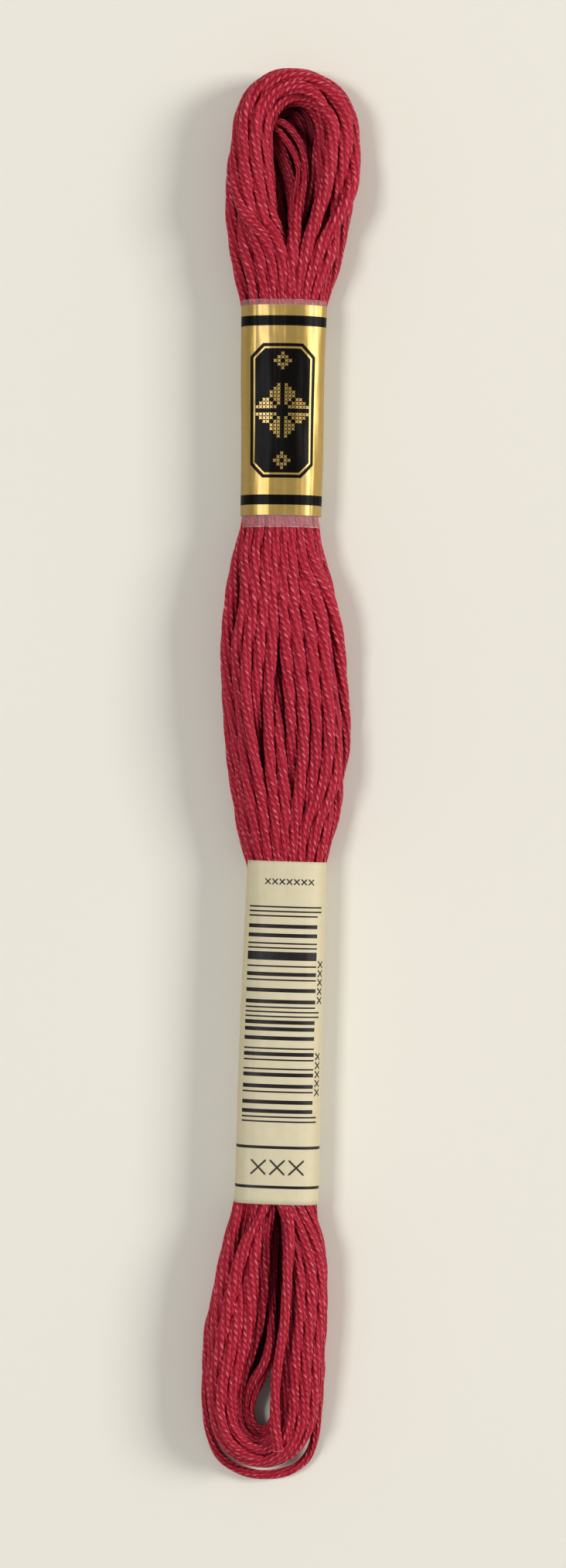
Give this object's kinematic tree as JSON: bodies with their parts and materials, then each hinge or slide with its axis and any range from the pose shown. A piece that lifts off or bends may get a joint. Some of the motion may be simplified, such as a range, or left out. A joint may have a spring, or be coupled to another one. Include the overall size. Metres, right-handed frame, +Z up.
{
  "type": "skein of embroidery floss",
  "caption": "Long narrow skein of crimson stranded cotton floss, lying flat, held by two bands, with a looped eye at each end and a loose cut end.",
  "frame": {"origin": "on the surface the skein lies on, under the middle of the skein", "axes": "+Y along the skein towards its upper loop, +X across it, +Z up off the surface"},
  "size_m": [0.0192, 0.1709, 0.0079],
  "materials": {
    "floss": "silky",
    "printed_film": "glossy gold and black print",
    "cream_paper": "smooth printed paper"
  },
  "bodies": {
    "root": {"hank": "floss", "loose_end": "floss", "upper_band": "printed_film", "lower_band": "cream_paper"}
  },
  "joints": []
}
